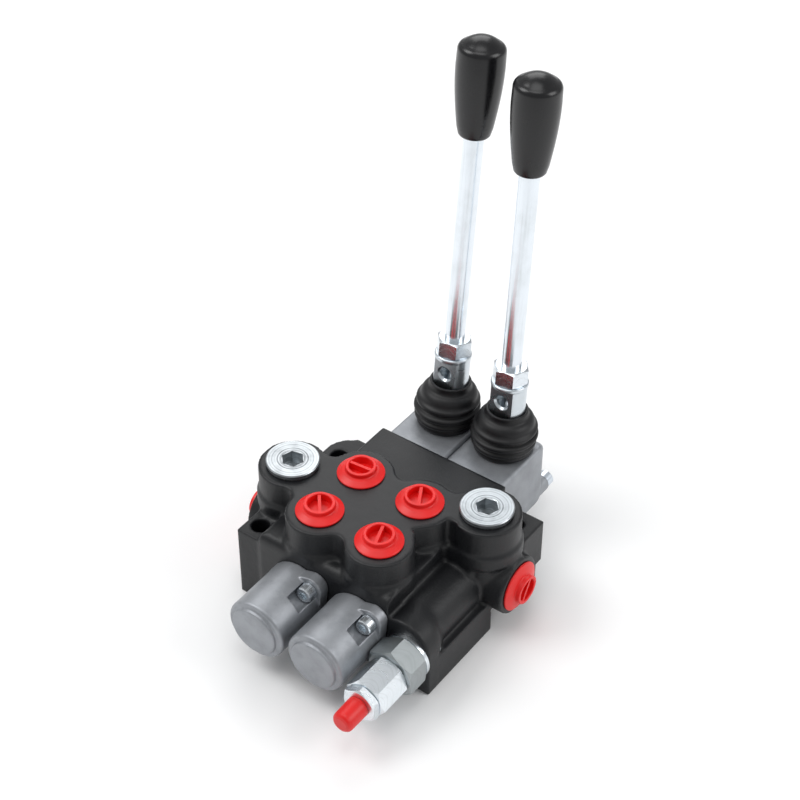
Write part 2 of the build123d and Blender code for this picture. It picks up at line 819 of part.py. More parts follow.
def relief_poppet():
    """A cone on a guided stem; it lifts outwards off the seat."""
    stem_r = relief_nose_inner_r - poppet_fit
    flange_r = relief_inner_r - poppet_fit
    tip_r = seat_hole_r - poppet_fit
    cone = turned(
        (0, seat_high - 1.2),
        (tip_r - 1.2, seat_high - 1.2),
        (tip_r, seat_high),
        (stem_r, seat_high + stem_r - tip_r),
        (stem_r, shoulder + 0.1),
        (flange_r, shoulder + 0.1),
        (flange_r, poppet_high),
        (guide_nose_r, poppet_high),
        (guide_nose_r, poppet_high + guide_nose_len),
        (0, poppet_high + guide_nose_len),
    )
    return relief_place() * cone


def relief_spring():
    return relief_place() * Pos(0, 0, poppet_high) * coil(
        relief_wire_r, relief_coil_r, guide_low - poppet_high, relief_turns
    )


def relief_guide():
    guide = rod(sleeve_bore_r() - 0.15, guide_low, guide_low + guide_t)
    guide += rod(guide_nose_r, guide_low - guide_nose_len, guide_low + 0.5)
    return relief_place() * guide


def sleeve_bore_r():
    return relief_inner_r - 1.8


def relief_sleeve():
    """The spring bonnet, screwed into the cartridge and threaded for the adjusting screw."""
    sleeve = hex_bar(sleeve_af, sleeve_low, sleeve_high, sleeve_turn, 1.0)
    sleeve += rod(relief_inner_r, sleeve_low - sleeve_spigot_len, sleeve_low + 0.5)
    sleeve -= rod(sleeve_bore_r(), sleeve_low - sleeve_spigot_len - 1, sleeve_high - sleeve_wall_end)
    sleeve -= rod(adjuster_r + pin_fit, sleeve_low, sleeve_high + 1)
    return relief_place() * sleeve


def relief_lock_nut():
    nut = hex_bar(lock_af, sleeve_high, sleeve_high + lock_h, lock_turn, 1.0)
    return relief_place() * (nut - rod(adjuster_r + pin_fit, sleeve_high - 1, sleeve_high + lock_h + 1))


def relief_adjuster():
    """The slotted adjusting screw that presses on the spring guide."""
    top = sleeve_high + adjuster_out
    screw = chamfer(rod(adjuster_r, guide_low + guide_t, top).edges().sort_by(Axis.Z)[-1], 0.6)
    screw -= Pos(0, 0, top) * Box(4 * adjuster_r, adjuster_slot, 3.0)
    return relief_place() * screw


def relief_cap():
    """The plastic cap over the adjusting screw."""
    low = sleeve_high + lock_h
    cap = rod(red_cap_r, low, low + red_cap_len)
    cap = fillet(cap.edges().sort_by(Axis.Z)[-1], red_cap_round)
    bore = red_cap_r - red_cap_wall
    return relief_place() * (cap - rod(bore, low - 1, low + red_cap_len - red_cap_wall))


# ---- load check --------------------------------------------------------------------------------------
def check_poppet():
    r = check_bore_r - check_fit
    seat_gap = 0.05
    poppet = turned(
        (0, check_seat_z - 2.0 + seat_gap),
        (check_nose_r, check_seat_z - 2.0 + seat_gap),
        (r, check_seat_z - 2.0 + seat_gap + r - check_nose_r),
        (r, check_top_z),
        (0, check_top_z),
    )
    poppet -= rod(check_pocket_r, check_top_z - check_pocket_depth, check_top_z + 1)
    return Pos(right_plug_x, right_plug_y, 0) * poppet


def check_spring():
    low = check_top_z - check_pocket_depth
    high = plateau_z - plug_shank_len + plug_pocket_depth
    return Pos(right_plug_x, right_plug_y, low) * coil(
        check_wire_r, check_coil_r, high - low, check_turns
    )


# ---- assembly ----------------------------------------------------------------------------------------
def build():
    nodes["valve_body"] = valve_body()
    nodes["spool_seals"] = spool_seals()
    nodes["spring_cap_screws"] = cap_screws()
    nodes["lever_housing_screws"] = housing_screws()
    for side in SIDES:
        nodes[f"spool_{side}"] = spool(side)
        nodes[f"spring_seats_{side}"] = spring_seats(side)
        nodes[f"centring_spring_{side}"] = centring_spring(side)
        nodes[f"shoulder_bolt_{side}"] = shoulder_bolt(side)
        nodes[f"spring_cap_{side}"] = spring_cap(side)
        nodes[f"lever_housing_{side}"] = lever_housing(side)
        nodes[f"pivot_pin_{side}"] = pivot_pin(side)
        nodes[f"lever_hub_{side}"] = lever_hub(side)
        nodes[f"lever_nut_{side}"] = lever_nut(side)
        nodes[f"lever_rod_{side}"] = lever_rod(side)
        nodes[f"knob_{side}"] = knob(side)
        nodes[f"boot_{side}"] = boot(side)
    nodes["plug_left"] = top_plug(left_plug_x, left_plug_y, False)
    nodes["plug_right"] = top_plug(right_plug_x, right_plug_y, True)
    nodes["plug_washers"] = plug_washers()
    turns = {"left_front": 100.0, "right_front": 70.0, "left_rear": 0.0, "right_rear": 85.0}
    for side in SIDES:
        for end, y in (("front", -port_y), ("rear", port_y)):
            place = facing("top", spool_x(side), y, plateau_z)
            name = f"port_cap_{side}_{end}"
            nodes[name] = port_cap(place, cap_flange_r, port_bore_r, turns[f"{side}_{end}"])
    inlet = facing("right", inlet_face, right_plug_y, side_port_z)
    nodes["port_cap_inlet"] = port_cap(inlet, side_cap_flange_r, side_bore_r, 60.0)
    outlet = facing("left", outlet_face, left_plug_y, side_port_z)
    nodes["port_cap_outlet"] = port_cap(outlet, side_cap_flange_r, side_bore_r, 30.0)
    nodes["relief_body"] = relief_body()
    nodes["relief_washer"] = relief_washer()
    nodes["relief_seat"] = relief_seat()
    nodes["relief_poppet"] = relief_poppet()
    nodes["relief_spring"] = relief_spring()
    nodes["relief_guide"] = relief_guide()
    nodes["relief_sleeve"] = relief_sleeve()
    nodes["relief_lock_nut"] = relief_lock_nut()
    nodes["relief_adjuster"] = relief_adjuster()
    nodes["relief_cap"] = relief_cap()
    nodes["check_poppet"] = check_poppet()
    nodes["check_spring"] = check_spring()


os.makedirs("parts", exist_ok=True)
build()
for name, shape in nodes.items():
    export_step(shape, f"parts/{name}.step")
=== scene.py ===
"""Looks of a two-spool hydraulic monoblock valve with hand levers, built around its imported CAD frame."""

import logging
import math
from dataclasses import dataclass, field
from enum import Enum
from typing import Any, Iterable, Mapping, Sequence

import bmesh
import bpy
from mathutils import Matrix, Vector


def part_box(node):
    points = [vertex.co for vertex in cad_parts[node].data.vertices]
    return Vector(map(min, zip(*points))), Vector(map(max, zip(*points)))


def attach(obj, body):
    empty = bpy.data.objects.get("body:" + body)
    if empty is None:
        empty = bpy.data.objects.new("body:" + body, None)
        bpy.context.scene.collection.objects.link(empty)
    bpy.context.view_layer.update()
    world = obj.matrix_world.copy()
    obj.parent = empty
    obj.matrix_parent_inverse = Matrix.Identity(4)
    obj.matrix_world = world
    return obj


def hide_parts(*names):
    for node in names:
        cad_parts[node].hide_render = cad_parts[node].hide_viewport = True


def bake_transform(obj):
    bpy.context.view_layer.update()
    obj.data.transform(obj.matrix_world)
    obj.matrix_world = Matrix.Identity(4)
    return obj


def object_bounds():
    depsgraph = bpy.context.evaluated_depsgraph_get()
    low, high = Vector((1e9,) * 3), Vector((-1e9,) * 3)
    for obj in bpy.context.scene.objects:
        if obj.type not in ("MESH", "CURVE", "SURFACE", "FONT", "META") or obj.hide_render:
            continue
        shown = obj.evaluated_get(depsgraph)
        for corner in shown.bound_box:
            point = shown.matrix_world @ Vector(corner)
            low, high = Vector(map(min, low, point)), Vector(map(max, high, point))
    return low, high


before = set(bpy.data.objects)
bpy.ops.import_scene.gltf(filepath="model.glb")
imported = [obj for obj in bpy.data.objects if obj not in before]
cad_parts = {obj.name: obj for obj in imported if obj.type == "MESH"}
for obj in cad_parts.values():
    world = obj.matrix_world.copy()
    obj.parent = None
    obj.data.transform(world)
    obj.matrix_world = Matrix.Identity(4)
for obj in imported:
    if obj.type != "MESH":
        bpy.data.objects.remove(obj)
CAD_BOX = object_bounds()
MM = 0.001
SIDES = ("left", "right")
# Places on the casting, in millimetres.
FRONT = -33.0
TOP = 65.0
SPOOL_X = 17.5
PORT_Y = 16.2
GALLERY_Z = 26.5
LEFT_PLUG = (-48.5, 2.4)
RIGHT_PLUG = (46.3, 30.4)
RELIEF_AXIS = (46.5, 21.3)
FULL_TURN = 2 * math.pi
Colour = tuple[float, float, float]
log = logging.getLogger("valve")


# ---- shading ---------------------------------------------------------------------------------------
class Value:
    """A shader socket that can stand in arithmetic."""

    def __init__(self, shading: "Shading", socket: bpy.types.NodeSocket) -> None:
        """Wraps one output socket of a node tree."""
        self.shading = shading
        self.socket = socket

    def math(self, operation: str, *others: "Value | float") -> "Value":
        """A Math node with this value first."""
        return self.shading.math(operation, self, *others)

    def __add__(self, other: "Value | float") -> "Value":
        """self + other"""
        return self.math("ADD", other)

    def __sub__(self, other: "Value | float") -> "Value":
        """self - other"""
        return self.math("SUBTRACT", other)

    def __rsub__(self, other: float) -> "Value":
        """other - self"""
        return self.shading.math("SUBTRACT", other, self)

    def __mul__(self, other: "Value | float") -> "Value":
        """self * other"""
        return self.math("MULTIPLY", other)

    __radd__ = __add__
    __rmul__ = __mul__

    def size(self) -> "Value":
        """The absolute value."""
        return self.math("ABSOLUTE")

    def step(self, low: float, high: float) -> "Value":
        """A smooth step from 0 at low to 1 at high, or the other way where low is above high.

        Args:
            low: where the step is 0.
            high: where the step is 1.

        Returns:
            The stepped value.
        """
        return self.shading.node(
            "ShaderNodeMapRange",
            {"interpolation_type": "SMOOTHSTEP"},
            {"Value": self, "From Min": low, "From Max": high},
        )


class Shading:
    """The node tree of one material, with a Principled shader at its end."""

    def __init__(self, name: str) -> None:
        """Starts a material with nothing but its output and its shader."""
        self.material = bpy.data.materials.new(name)
        self.material.use_nodes = True
        self.tree = self.material.node_tree
        self.shader = self.tree.nodes["Principled BSDF"]
        self._place: Value | None = None

    def node(
        self,
        kind: str,
        settings: Mapping[str, Any],
        inputs: Mapping[str | int, Any],
        output: str | int = 0,
    ) -> Value:
        """Adds a node.

        Args:
            kind: the node's type.
            settings: its own settings, which are set first; "stops" fills a colour ramp.
            inputs: the values of its sockets, or what is linked to them.
            output: the socket that is given back.

        Returns:
            The node's output.
        """
        made = self.tree.nodes.new(kind)
        for name, value in settings.items():
            setattr(made, name, value)
        for socket, value in inputs.items():
            self.feed(made.inputs[socket], value)
        return Value(self, made.outputs[output])

    def feed(self, socket: bpy.types.NodeSocket, value: Any) -> None:
        """Links a value to a socket, or sets the socket where the value is plain."""
        if isinstance(value, Value):
            self.tree.links.new(value.socket, socket)
        elif socket.type == "RGBA" and len(value) == 3:
            socket.default_value = (*value, 1.0)
        else:
            socket.default_value = value

    def math(self, operation: str, *values: "Value | float") -> Value:
        """A Math node on the values in order."""
        return self.node("ShaderNodeMath", {"operation": operation}, dict(enumerate(values)))

    def place(self) -> Value:
        """The point on the object at rest, in millimetres."""
        if self._place is None:
            metres = self.node("ShaderNodeTexCoord", {}, {}, "Object")
            self._place = self.vector("SCALE", metres, Scale=1 / MM)
        return self._place

    def vector(self, operation: str, *vectors: "Value | Sequence[float]", **named: float) -> Value:
        """A Vector Math node; a length or a dot product comes out as a value."""
        inputs = {**dict(enumerate(vectors)), **named}
        output = "Value" if operation in ("LENGTH", "DOT_PRODUCT", "DISTANCE") else "Vector"
        return self.node("ShaderNodeVectorMath", {"operation": operation}, inputs, output)

    def along(self, axis: Sequence[float], origin: Sequence[float] = (0, 0, 0)) -> Value:
        """How far a point lies along an axis through the origin given, in millimetres."""
        offset = self.vector("SUBTRACT", self.place(), tuple(origin))
        return self.vector("DOT_PRODUCT", offset, tuple(axis))

    def noise(
        self,
        scale: float,
        detail: float = 3.0,
        roughness: float = 0.5,
        at: Value | None = None,
    ) -> Value:
        """Cloudy noise from 0 to 1.

        Args:
            scale: its lumps per millimetre.
            detail: octaves of finer lumps.
            roughness: how strong the finer lumps are.
            at: the point it is read at, the object's own point if none.

        Returns:
            The noise.
        """
        inputs = {
            "Vector": self.place() if at is None else at,
            "Scale": scale,
            "Detail": detail,
            "Roughness": roughness,
        }
        return self.node("ShaderNodeTexNoise", {}, inputs, "Fac")

    def lines(self, at: Value, scale: float, detail: float = 3.0) -> Value:
        """Noise along one value, for marks that repeat along a line or round an axis."""
        inputs = {"W": at, "Scale": scale, "Detail": detail}
        return self.node("ShaderNodeTexNoise", {"noise_dimensions": "1D"}, inputs, "Fac")

    def cells(self, scale: float) -> Value:
        """Distance to the nearest of scattered points, for pores."""
        inputs = {"Vector": self.place(), "Scale": scale}
        return self.node("ShaderNodeTexVoronoi", {}, inputs, "Distance")

    def mix(self, share: "Value | float", first: "Value | Colour", second: "Value | Colour") -> Value:
        """A colour between two, by share."""
        inputs = {0: share, 6: first, 7: second}
        return self.node("ShaderNodeMix", {"data_type": "RGBA"}, inputs, 2)

    def bump(self, height: Value, depth: float, under: Value | None = None, strength: float = 1.0) -> Value:
        """A normal bent by a height.

        Args:
            height: the height from 0 to 1.
            depth: millimetres between 0 and 1.
            under: a bump below this one.
            strength: how much of the bend is kept.

        Returns:
            The bent normal.
        """
        inputs = {"Strength": strength, "Distance": depth * MM, "Height": height}
        if under is not None:
            inputs["Normal"] = under
        return self.node("ShaderNodeBump", {}, inputs)

    def finish(self, **sockets: Any) -> bpy.types.Material:
        """Sets the shader's sockets, named with underscores for spaces, and gives the material."""
        for name, value in sockets.items():
            self.feed(self.shader.inputs[name.replace("_", " ").title().replace("Ior", "IOR")], value)
        return self.material


class Axis(Enum):
    """Directions that turned and drawn marks run along."""

    ACROSS = (1.0, 0.0, 0.0)
    OUT = (0.0, 1.0, 0.0)
    UP = (0.0, 0.0, 1.0)


@dataclass(frozen=True)
class CastingPaint:
    """Satin black paint on sand-cast iron, smoother where a face was machined before painting."""

    name: str = "black_casting_paint"
    colour: Colour = (0.0062, 0.0068, 0.0082)
    dusty: Colour = (0.020, 0.021, 0.023)
    grain: float = 0.9
    depth: float = 0.13

    def material(self, flats: Iterable[tuple[Axis, float]]) -> bpy.types.Material:
        """Paints the casting.

        Args:
            flats: machined faces, each as its axis and its place along it in millimetres.

        Returns:
            The material.
        """
        s = Shading(self.name)
        machined: Value | float = 0.0
        for axis, at in flats:
            distance = (s.along(axis.value) - at).size()
            machined = s.math("MAXIMUM", machined, distance.step(0.35, 0.1))
        cast = 1 - machined * 0.85
        grain = s.noise(self.grain, 4.0, 0.62)
        lumps = s.noise(0.16, 2.0)
        cloud = s.noise(0.035, 3.0, 0.6)
        dust = (cloud.step(0.45, 0.75) * 0.35 + grain.step(0.5, 0.85) * 0.3) * 0.6
        normal = s.bump(lumps, self.depth * 2, strength=0.5)
        normal = s.bump(grain * cast, self.depth, normal, 0.75)
        return s.finish(
            base_color=s.mix(dust, self.colour, self.dusty),
            roughness=0.29 + cast * 0.06 + cloud * 0.12 + grain * 0.06,
            specular_ior_level=0.4,
            normal=normal,
        )


@dataclass(frozen=True)
class DieCasting:
    """Bare pressure-cast aluminium, blasted to a soft grey."""

    name: str = "blasted_aluminium"
    colour: Colour = (0.36, 0.375, 0.40)
    dark: Colour = (0.20, 0.21, 0.225)

    def material(self) -> bpy.types.Material:
        """The blasted skin, with faint flow clouds and pores."""
        s = Shading(self.name)
        cloud = s.noise(0.09, 3.0, 0.6)
        speck = s.noise(2.4, 3.0, 0.7)
        pores = s.cells(0.55).step(0.12, 0.05)
        tone = cloud.step(0.35, 0.75) * 0.45 + speck.step(0.45, 0.8) * 0.3
        normal = s.bump(speck, 0.05, strength=0.7)
        normal = s.bump(1 - pores, 0.08, normal, 0.4)
        return s.finish(
            base_color=s.mix(tone + pores * 0.25, self.colour, self.dark),
            metallic=0.72,
            roughness=0.40 + cloud * 0.1 + speck * 0.06,
            normal=normal,
        )


@dataclass(frozen=True)
class Zinc:
    """Bright zinc plate over machined steel, with tool marks round or along an axis."""

    name: str
    colour: Colour = (0.78, 0.83, 0.88)
    stain: Colour = (0.62, 0.66, 0.68)
    roughness: float = 0.2
    marks: float = 1.6
    depth: float = 0.02
    contrast: float = 0.35

    def material(self, axis: Sequence[float], centre: Sequence[float], turned: bool) -> bpy.types.Material:
        """Plates a piece.

        Args:
            axis: the direction of the piece's own axis.
            centre: a point on it, in millimetres.
            turned: True for rings about the axis, False for marks drawn along it.

        Returns:
            The material.
        """
        s = Shading(self.name)
        offset = s.vector("SUBTRACT", s.place(), tuple(centre))
        out = s.vector("SCALE", tuple(axis), Scale=s.vector("DOT_PRODUCT", offset, tuple(axis)))
        radial = s.vector("SUBTRACT", offset, out)
        if turned:
            radius = s.vector("LENGTH", radial)
            height = s.vector("DOT_PRODUCT", offset, tuple(axis))
            marks = s.lines(radius + height * 0.37, self.marks, 4.0)
        else:
            drawn = s.vector("ADD", radial, s.vector("SCALE", out, Scale=0.02))
            marks = s.noise(self.marks, 3.0, 0.6, drawn)
        cloud = s.noise(0.11, 3.0, 0.6)
        spots = s.noise(1.1, 2.0, 0.6).step(0.62, 0.8)
        stained = cloud.step(0.4, 0.8) * 0.4 + marks.step(0.45, 0.7) * self.contrast
        return s.finish(
            base_color=s.mix(stained, self.colour, self.stain),
            metallic=1.0,
            roughness=self.roughness + cloud * 0.08 + marks * 0.1 + spots * 0.08,
            normal=s.bump(marks, self.depth, strength=0.6),
        )


@dataclass(frozen=True)
class Moulding:
    """Moulded plastic with a faint orange-peel skin."""

    name: str
    colour: Colour
    faded: Colour
    roughness: float
    peel: float = 0.6
    depth: float = 0.03
    coat: float = 0.0
    glow: float = 0.0

    def material(self) -> bpy.types.Material:
        """The plastic, a little uneven in tone and gloss."""
        s = Shading(self.name)
        cloud = s.noise(0.12, 3.0, 0.55)
        peel = s.noise(self.peel, 2.0)
        fine = s.noise(4.0, 2.0, 0.7)
        normal = s.bump(peel, self.depth, strength=0.5)
        normal = s.bump(fine, self.depth * 0.2, normal, 0.4)
        return s.finish(
            base_color=s.mix(cloud.step(0.4, 0.85) * 0.6, self.colour, self.faded),
            roughness=self.roughness + cloud * 0.08 + fine * 0.05,
            coat_weight=self.coat,
            coat_roughness=0.06,
            subsurface_weight=self.glow,
            subsurface_scale=0.002,
            normal=normal,
        )


@dataclass(frozen=True)
class Rubber:
    """Black rubber with a matt bloom."""

    name: str = "black_rubber_bloom"
    colour: Colour = (0.006, 0.006, 0.007)
    bloom: Colour = (0.022, 0.022, 0.024)

    def material(self) -> bpy.types.Material:
        """The rubber, greyer where bloom and dust lie."""
        s = Shading(self.name)
        cloud = s.noise(0.14, 4.0, 0.6)
        fine = s.noise(2.2, 3.0, 0.65)
        share = cloud.step(0.45, 0.85) * 0.5 + fine.step(0.55, 0.9) * 0.35
        return s.finish(
            base_color=s.mix(share, self.colour, self.bloom),
            roughness=0.36 + cloud * 0.14 + fine * 0.08,
            specular_ior_level=0.4,
            normal=s.bump(fine, 0.03, strength=0.5),
        )


RED_PLASTIC = Moulding("red_polythene", (0.78, 0.006, 0.005), (0.66, 0.010, 0.008), 0.34, glow=0.05)
KNOB_PLASTIC = Moulding(
    "glossy_black_phenolic", (0.003, 0.003, 0.004), (0.006, 0.006, 0.007), 0.2, 0.25, 0.04
)
GROUND_STEEL = Zinc("ground_steel", (0.55, 0.55, 0.56), (0.42, 0.42, 0.43), 0.24)
SPRING_STEEL = Zinc("spring_steel", (0.30, 0.30, 0.31), (0.2, 0.2, 0.21), 0.34)


# ---- meshes ------------------------------------------------------------------------------------------
def middle(node: str) -> Vector:
    """The middle of a CAD node's box, in metres."""
    low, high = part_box(node)
    return (low + high) / 2


def paint(node: str, material: bpy.types.Material) -> None:
    """Gives a CAD node another material in every slot."""
    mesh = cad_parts[node].data
    for index in range(len(mesh.materials)):
        mesh.materials[index] = material


def placed(name: str, mesh: bpy.types.Mesh, material: bpy.types.Material) -> bpy.types.Object:
    """Puts a mesh in the scene as a smooth-shaded object at the origin."""
    mesh.materials.clear()
    mesh.materials.append(material)
    mesh.shade_smooth()
    piece = bpy.data.objects.new(name, mesh)
    bpy.context.scene.collection.objects.link(piece)
    return piece


def baked(piece: bpy.types.Object) -> bpy.types.Object:
    """Applies the object's modifiers to its mesh."""
    graph = bpy.context.evaluated_depsgraph_get()
    mesh = bpy.data.meshes.new_from_object(piece.evaluated_get(graph))
    piece.modifiers.clear()
    piece.data = mesh
    return piece


class Shape:
    """A closed mesh, put together in millimetres."""

    def __init__(self) -> None:
        """Starts with nothing."""
        self.mesh = bmesh.new()

    def turn(
        self,
        outline: Sequence[tuple[float, float]],
        place: Matrix,
        segments: int = 96,
        front: float | None = None,
    ) -> "Shape":
        """Adds a solid of revolution.

        Args:
            outline: the closed (radius, height) outline.
            place: the frame whose z is the axis.
            segments: steps round the axis.
            front: the lowest y that the solid keeps, if any.

        Returns:
            The shape.
        """
        rings = []
        for radius, height in outline:
            count = segments if radius > 1e-6 else 1
            ring = []
            for i in range(count):
                a = FULL_TURN * i / segments
                point = place @ Vector((radius * math.cos(a), radius * math.sin(a), height))
                if front is not None:
                    point.y = max(point.y, front)
                ring.append(self.mesh.verts.new(point))
            rings.append(ring)
        for near, far in zip(rings, rings[1:] + rings[:1]):
            if len(near) == len(far) == 1:
                continue
            for i in range(segments):
                steps = ((near, i), (near, i + 1), (far, i + 1), (far, i))
                corners = [ring[k % len(ring)] for ring, k in steps]
                self.mesh.faces.new(list(dict.fromkeys(corners)))
        return self

    def prism(
        self, outline: Sequence[tuple[float, float]], low: float, high: float, place: Matrix
    ) -> "Shape":
        """Adds a flat (x, y) outline raised from one height to another in a frame."""
        floor = [self.mesh.verts.new(place @ Vector((x, y, low))) for x, y in outline]
        roof = [self.mesh.verts.new(place @ Vector((x, y, high))) for x, y in outline]
        self.mesh.faces.new(list(reversed(floor)))
        self.mesh.faces.new(roof)
        for i in range(len(outline)):
            j = (i + 1) % len(outline)
            self.mesh.faces.new((floor[i], floor[j], roof[j], roof[i]))
        return self

    def block(
        self, x: tuple[float, float], y: tuple[float, float], z: tuple[float, float]
    ) -> "Shape":
        """Adds a box between two values on each axis."""
        corners = [(x[0], y[0]), (x[1], y[0]), (x[1], y[1]), (x[0], y[1])]
        return self.prism(corners, z[0], z[1], Matrix.Identity(4))

    def loft(self, rings: Sequence[Sequence[Vector]]) -> "Shape":
        """Adds a skin through rings of points with flat ends."""
        made = [[self.mesh.verts.new(point) for point in ring] for ring in rings]
        self.mesh.faces.new(list(reversed(made[0])))
        self.mesh.faces.new(made[-1])
        for near, far in zip(made, made[1:]):
            for i in range(len(near)):
                j = (i + 1) % len(near)
                self.mesh.faces.new((near[i], near[j], far[j], far[i]))
        return self

    def thing(self, name: str) -> bpy.types.Object:
        """The shape as an object, in metres."""
        bmesh.ops.recalc_face_normals(self.mesh, faces=self.mesh.faces)
        bmesh.ops.scale(self.mesh, vec=(MM, MM, MM), verts=self.mesh.verts)
        mesh = bpy.data.meshes.new(name)
        self.mesh.to_mesh(mesh)
        self.mesh.free()
        piece = bpy.data.objects.new(name, mesh)
        bpy.context.scene.collection.objects.link(piece)
        return piece


def carved(piece: bpy.types.Object, operation: str, tool: Shape) -> bpy.types.Object:
    """Cuts or joins a shape with a piece.

    Args:
        piece: the object that is changed.
        operation: UNION, DIFFERENCE or INTERSECT.
        tool: the shape; it is used up.

    Returns:
        The piece.
    """
    other = tool.thing("tool")
    cut = piece.modifiers.new("cut", "BOOLEAN")
    cut.operation = operation
    cut.solver = "EXACT"
    cut.object = other
    baked(piece)
    bpy.data.objects.remove(other)
    return piece


def finished(piece: bpy.types.Object, material: bpy.types.Material, body: str, *nodes: str) -> None:
    """Shades a made piece, lets it ride on a body and puts it in the place of CAD nodes."""
    piece.data.materials.clear()
    piece.data.materials.append(material)
    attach(piece, body)
    for node in nodes:
        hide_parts(node)


def facing(direction: str, x: float, y: float, z: float) -> Matrix:
    """A frame at a point in millimetres whose own z runs out of the object's front, right, left or top."""
    across, out = {
        "front": ((1, 0, 0), (0, -1, 0)),
        "right": ((0, 1, 0), (1, 0, 0)),
        "left": ((0, -1, 0), (-1, 0, 0)),
        "top": ((1, 0, 0), (0, 0, 1)),
    }[direction]
    u, w = Vector(across), Vector(out)
    v = w.cross(u)
    frame_axes = Matrix((u, v, w)).transposed().to_4x4()
    return Matrix.Translation((x, y, z)) @ frame_axes


def rod(radius: float, low: float, high: float) -> list[tuple[float, float]]:
    """The outline of a round bar, for turning."""
    return [(0.0, low), (radius, low), (radius, high), (0.0, high)]


def hexagon(across_flats: float, turn: float) -> list[tuple[float, float]]:
    """A hexagon whose first corner is at an angle in degrees."""
    r = across_flats / math.sqrt(3)
    angles = [math.radians(turn + 60 * i) for i in range(6)]
    return [(r * math.cos(a), r * math.sin(a)) for a in angles]


@dataclass
class CastSkin:
    """A cast copy of a CAD node: the same form with every edge and inner corner softened.

    Attributes:
        node: the CAD node that it stands for.
        name: the piece's name.
        voxel: the skin's grid, in millimetres.
        passes: rounds of smoothing.
        changes: what is cut from the form or joined to it before it is softened.
    """

    node: str
    name: str
    voxel: float
    passes: int
    changes: Sequence[tuple[str, Shape]] = ()

    def build(self, material: bpy.types.Material) -> bpy.types.Object:
        """Wraps the node.

        Args:
            material: the skin's finish.

        Returns:
            The piece, riding on the root body in the node's place.
        """
        mesh = bpy.data.meshes.new(self.name)
        source = bmesh.new()
        source.from_mesh(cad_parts[self.node].data)
        bmesh.ops.remove_doubles(source, verts=source.verts, dist=0.001 * MM)
        source.to_mesh(mesh)
        source.free()
        piece = placed(self.name, mesh, material)
        for operation, shape in self.changes:
            carved(piece, operation, shape)
        wrap = piece.modifiers.new("wrap", "REMESH")
        wrap.mode = "VOXEL"
        wrap.voxel_size = self.voxel * MM
        wrap.use_smooth_shade = True
        soften = piece.modifiers.new("soften", "SMOOTH")
        soften.factor = 0.5
        soften.iterations = self.passes
        baked(piece)
        piece.data.materials.clear()
        piece.data.materials.append(material)
        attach(piece, "root")
        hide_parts(self.node)
        return piece


